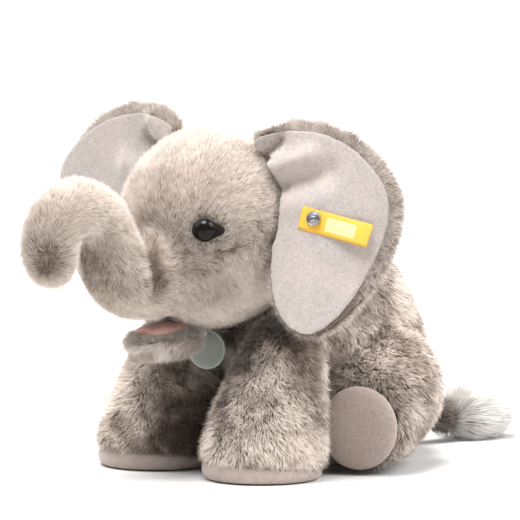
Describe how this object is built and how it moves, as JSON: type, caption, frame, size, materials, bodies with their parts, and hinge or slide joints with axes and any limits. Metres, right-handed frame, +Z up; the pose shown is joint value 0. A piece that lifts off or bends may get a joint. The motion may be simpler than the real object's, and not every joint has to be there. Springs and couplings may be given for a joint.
{
  "type": "plush elephant",
  "caption": "Sitting plush elephant with a raised curled trunk, big velvet-lined ears, velvet soles, soft sewn limbs, a ribbon riveted in one ear and a round swing tag.",
  "frame": {"origin": "on the floor, at the middle of the whole length from trunk to tail and of the width over the ears", "axes": "+Z up, the face looks along -Y, the elephant's own left side is +X"},
  "size_m": [0.2708, 0.4117, 0.224],
  "materials": {
    "pile": "matt long pile",
    "filling": "matt fibre",
    "velvet": "short matt velvet",
    "mouth_velvet": "short matt velvet",
    "eye": "glossy",
    "washer": "matt",
    "rivet": "satin",
    "ribbon": "woven satin",
    "tail_root": "matt pile",
    "tuft": "long pile",
    "fastener": "matt",
    "tag": "matt coated card"
  },
  "bodies": {
    "torso": {"torso_cover": "pile", "torso_filling": "filling", "tag_fastener": "fastener"},
    "head": {"head_cover": "pile", "head_filling": "filling", "lower_jaw": "pile", "mouth_lining": "mouth_velvet", "left_eye": "eye", "right_eye": "eye", "left_eye_washer": "washer", "right_eye_washer": "washer"},
    "trunk": {"trunk_cover": "pile", "trunk_filling": "filling"},
    "left_ear": {"left_ear_back": "pile", "left_ear_lining": "velvet", "ear_rivet": "rivet", "ear_rivet_washer": "rivet"},
    "right_ear": {"right_ear_back": "pile", "right_ear_lining": "velvet"},
    "ribbon": {"ear_ribbon": "ribbon"},
    "tail": {"tail_stem": "tail_root", "tail_tuft": "tuft"},
    "tag": {"swing_tag": "tag"},
    "left_front_leg": {"left_front_leg_cover": "pile", "left_front_leg_filling": "filling", "left_front_sole": "velvet"},
    "left_hind_leg": {"left_hind_leg_cover": "pile", "left_hind_leg_filling": "filling", "left_hind_sole": "velvet"},
    "right_front_leg": {"right_front_leg_cover": "pile", "right_front_leg_filling": "filling", "right_front_sole": "velvet"},
    "right_hind_leg": {"right_hind_leg_cover": "pile", "right_hind_leg_filling": "filling", "right_hind_sole": "velvet"}
  },
  "joints": [
    {"name": "head_turn", "type": "hinge", "parent": "torso", "child": "head", "pos_m": [0, -0.046, 0.155], "axis": [0, 0, 1], "range_deg": [-12, 12], "stiffness_Nm_per_rad": 1},
    {"name": "trunk_lift", "type": "hinge", "parent": "head", "child": "trunk", "pos_m": [0, -0.085, 0.13], "axis": [1, 0, 0], "range_deg": [-12, 8], "stiffness_Nm_per_rad": 1.5, "springref_deg": -0.69},
    {"name": "left_ear_flap", "type": "hinge", "parent": "head", "child": "left_ear", "pos_m": [0.053, -0.0495, 0.1665], "axis": [-0.1172, 0.1993, 0.9729], "range_deg": [-25, 10], "stiffness_Nm_per_rad": 0.05},
    {"name": "right_ear_flap", "type": "hinge", "parent": "head", "child": "right_ear", "pos_m": [-0.054, -0.0415, 0.1665], "axis": [-0.1431, -0.0119, -0.9896], "range_deg": [-25, 10], "stiffness_Nm_per_rad": 0.05},
    {"name": "ribbon_swivel", "type": "hinge", "parent": "left_ear", "child": "ribbon", "pos_m": [0.08422, -0.04094, 0.16], "axis": [0.301, -0.9264, 0.226], "range_deg": [-20, 20]},
    {"name": "left_front_leg_swing", "type": "hinge", "parent": "torso", "child": "left_front_leg", "pos_m": [0.046, -0.03, 0.074], "axis": [-1, 0, 0], "range_deg": [0, 14], "stiffness_Nm_per_rad": 0.6},
    {"name": "right_front_leg_swing", "type": "hinge", "parent": "torso", "child": "right_front_leg", "pos_m": [-0.046, -0.03, 0.074], "axis": [-1, 0, 0], "range_deg": [0, 14], "stiffness_Nm_per_rad": 0.6},
    {"name": "left_hind_leg_spread", "type": "hinge", "parent": "torso", "child": "left_hind_leg", "pos_m": [0.05, 0.0535, 0.048], "axis": [0, 0, 1], "range_deg": [0, 12], "stiffness_Nm_per_rad": 0.6},
    {"name": "right_hind_leg_spread", "type": "hinge", "parent": "torso", "child": "right_hind_leg", "pos_m": [-0.05, 0.0535, 0.048], "axis": [0, 0, -1], "range_deg": [0, 12], "stiffness_Nm_per_rad": 0.6},
    {"name": "tail_swing", "type": "hinge", "parent": "torso", "child": "tail", "pos_m": [0, 0.122, 0.024], "axis": [0, 0, 1], "range_deg": [-20, 20], "stiffness_Nm_per_rad": 0.05},
    {"name": "tag_swing", "type": "hinge", "parent": "torso", "child": "tag", "pos_m": [-0.003, -0.048, 0.0855], "axis": [1, 0, 0], "range_deg": [-15, 15]}
  ]
}
